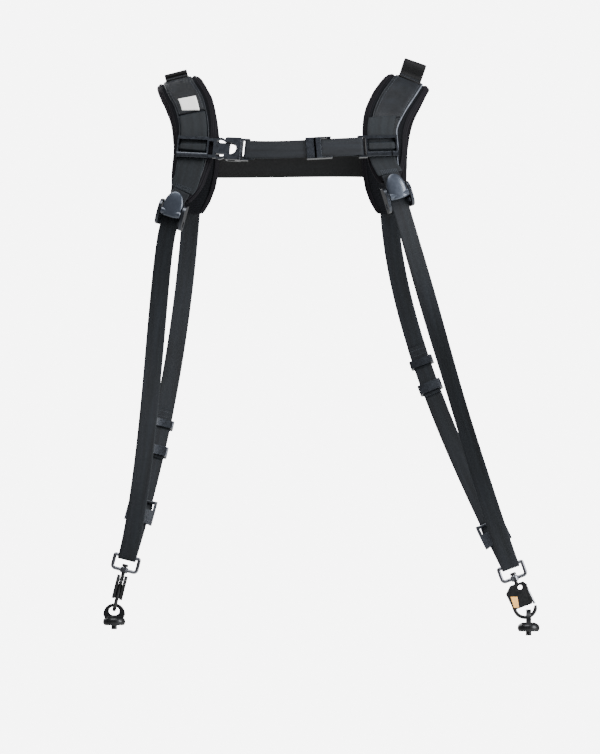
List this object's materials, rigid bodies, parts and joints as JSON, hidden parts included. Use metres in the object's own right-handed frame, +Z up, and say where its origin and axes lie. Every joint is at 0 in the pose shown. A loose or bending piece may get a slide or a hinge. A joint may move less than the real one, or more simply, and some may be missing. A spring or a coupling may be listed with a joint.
{
  "type": "dual camera harness",
  "caption": "Padded shoulder harness with a chest strap and, on each side, a camera strap that ends in a swivelling snap hook with a screw-in camera fastener.",
  "frame": {"origin": "midway between the two shoulder pads, at the height of the shoulders under them", "axes": "+Z up, the wearer faces -Y, +X to the right of the picture; the longest extent is along Z"},
  "size_m": [0.4754, 0.1843, 0.63],
  "materials": {
    "pad_mesh": "spacer mesh over foam",
    "panel_nylon": "woven nylon",
    "label": "plain woven label",
    "webbing": "ribbed nylon webbing",
    "black_plastic": "moulded acetal",
    "lever_plastic": "polished moulded acetal",
    "loop_steel": "black nickel plated",
    "gate_steel": "bright steel",
    "hook_black": "satin black coated",
    "fastener_black": "black oxide steel"
  },
  "bodies": {
    "root": {"shoulder_pad_left": "pad_mesh", "shoulder_pad_right": "pad_mesh", "pad_panel_left": "panel_nylon", "pad_panel_right": "panel_nylon", "patch_left": "label", "rail_webbing_left": "webbing", "rail_webbing_right": "webbing", "top_loop_left": "webbing", "top_loop_right": "webbing", "pad_tab_left": "webbing", "pad_tab_right": "webbing", "pad_lock_left_frame": "black_plastic", "pad_lock_right_frame": "black_plastic", "strap_left": "webbing", "strap_right": "webbing", "strap_tail_left": "webbing", "strap_tail_right": "webbing", "strap_slider_left": "black_plastic", "strap_slider_right": "black_plastic", "strap_keeper_left": "black_plastic", "strap_keeper_right": "black_plastic", "rear_lock_left_frame": "black_plastic", "rear_lock_right_frame": "black_plastic", "swivel_loop_left": "loop_steel", "swivel_loop_right": "loop_steel", "chest_slider_male": "black_plastic", "buckle_female": "black_plastic", "chest_frame_right": "black_plastic", "chest_strap": "webbing", "chest_adjuster": "black_plastic", "back_strap": "webbing"},
    "pad_lever_left": {"pad_lock_left_lever": "lever_plastic"},
    "pad_lever_right": {"pad_lock_right_lever": "lever_plastic"},
    "rear_lever_left": {"rear_lock_left_lever": "lever_plastic"},
    "rear_lever_right": {"rear_lock_right_lever": "lever_plastic"},
    "hook_left": {"hook_body_left": "hook_black", "hook_cover_left": "hook_black"},
    "hook_right": {"hook_body_right": "hook_black", "hook_cover_right": "hook_black"},
    "gate_left": {"hook_gate_left": "gate_steel"},
    "gate_right": {"hook_gate_right": "gate_steel"},
    "fastener_body_left": {"fastener_left": "fastener_black"},
    "fastener_body_right": {"fastener_right": "fastener_black"}
  },
  "joints": [
    {"name": "pad_lever_left_lift", "type": "hinge", "parent": "root", "child": "pad_lever_left", "pos_m": [-0.12894, -0.08049, -0.13717], "axis": [0.9268, -0.2341, -0.2936], "range_deg": [0, 85]},
    {"name": "pad_lever_right_lift", "type": "hinge", "parent": "root", "child": "pad_lever_right", "pos_m": [0.11782, -0.07855, -0.11761], "axis": [0.8978, 0.3162, 0.3067], "range_deg": [0, 85]},
    {"name": "rear_lever_left_lift", "type": "hinge", "parent": "root", "child": "rear_lever_left", "pos_m": [-0.1627, -0.00153, -0.46105], "axis": [-0.9651, -0.0025, 0.2619], "range_deg": [0, 85]},
    {"name": "rear_lever_right_lift", "type": "hinge", "parent": "root", "child": "rear_lever_right", "pos_m": [0.22182, -0.00764, -0.48503], "axis": [-0.9061, -0.028, -0.4221], "range_deg": [0, 85]},
    {"name": "swivel_left_turn", "type": "hinge", "parent": "root", "child": "hook_left", "pos_m": [-0.177, -0.033, -0.511], "axis": [-0.2419, 0, -0.9703], "continuous": true},
    {"name": "swivel_right_turn", "type": "hinge", "parent": "root", "child": "hook_right", "pos_m": [0.2394, -0.033, -0.5205], "axis": [0.342, 0, -0.9397], "continuous": true},
    {"name": "gate_left_open", "type": "hinge", "parent": "hook_left", "child": "gate_left", "pos_m": [-0.18327, -0.0245, -0.53613], "axis": [-0.9703, 0, 0.2419], "range_deg": [0, 20], "stiffness_Nm_per_rad": 0.02, "springref_deg": -17.19},
    {"name": "gate_right_open", "type": "hinge", "parent": "hook_right", "child": "gate_right", "pos_m": [0.25625, -0.033, -0.54193], "axis": [0, 1, 0], "range_deg": [0, 20], "stiffness_Nm_per_rad": 0.02, "springref_deg": -17.19},
    {"name": "fastener_left_swing", "type": "hinge", "parent": "hook_left", "child": "fastener_body_left", "pos_m": [-0.19139, -0.033, -0.56873], "axis": [0, 1, 0], "range_deg": [-45, 45]},
    {"name": "fastener_right_swing", "type": "hinge", "parent": "hook_right", "child": "fastener_body_right", "pos_m": [0.25975, -0.033, -0.57641], "axis": [1, 0, 0], "range_deg": [-45, 45]}
  ]
}
